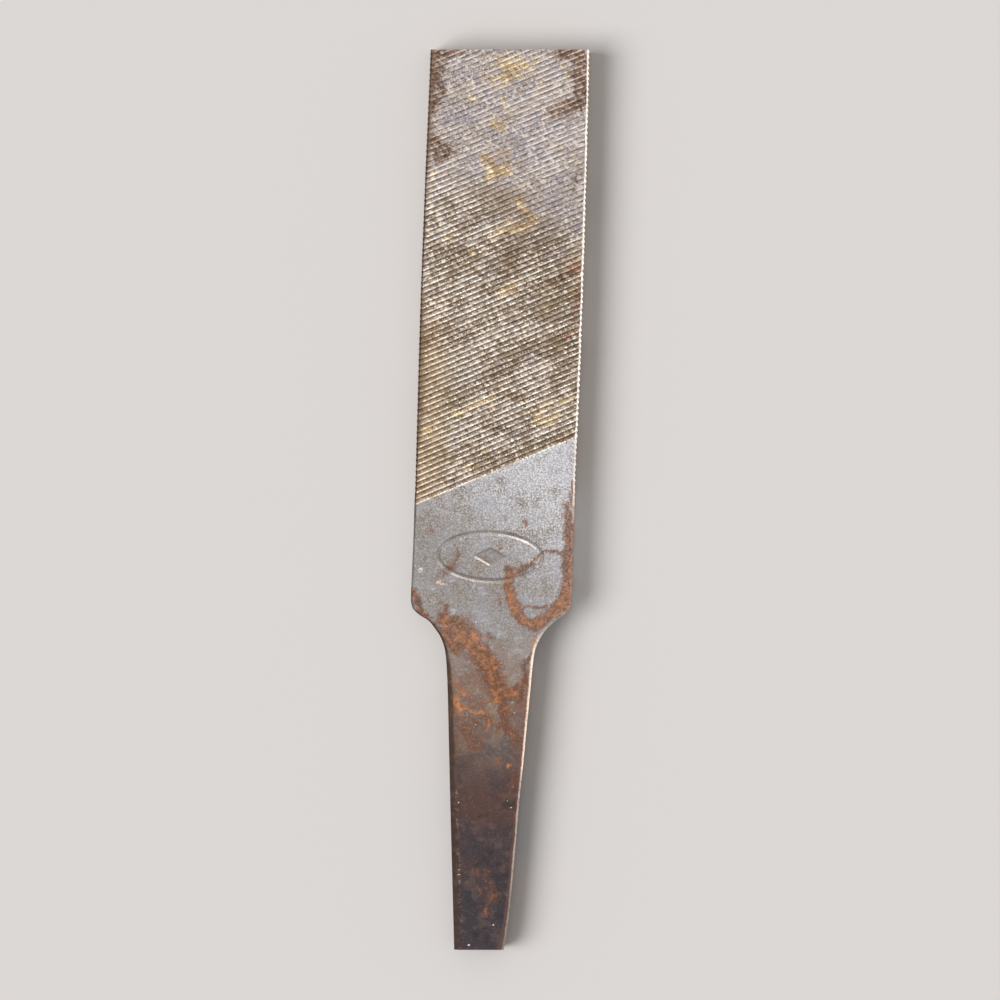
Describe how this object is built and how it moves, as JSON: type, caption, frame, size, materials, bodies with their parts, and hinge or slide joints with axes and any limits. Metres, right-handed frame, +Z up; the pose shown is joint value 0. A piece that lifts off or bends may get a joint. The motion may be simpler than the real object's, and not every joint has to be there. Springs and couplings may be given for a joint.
{
  "type": "flat file",
  "caption": "Flat hand file for metal, with double-cut teeth on its wide faces, a plain heel, shoulders and a tapered tang, forged from a single bar.",
  "frame": {"origin": "centre of the bounding box in plan, on the lower tooth crests: the plane that the file lies on", "axes": "+Y along the file from the tang towards the blade's cut end, +X across the width, +Z up out of the stamped face"},
  "size_m": [0.0254, 0.141, 0.006],
  "materials": {
    "file_steel": "dull aged tool steel with rust, worn bright on the tooth crests"
  },
  "bodies": {
    "root": {"flat_file": "file_steel"}
  },
  "joints": []
}
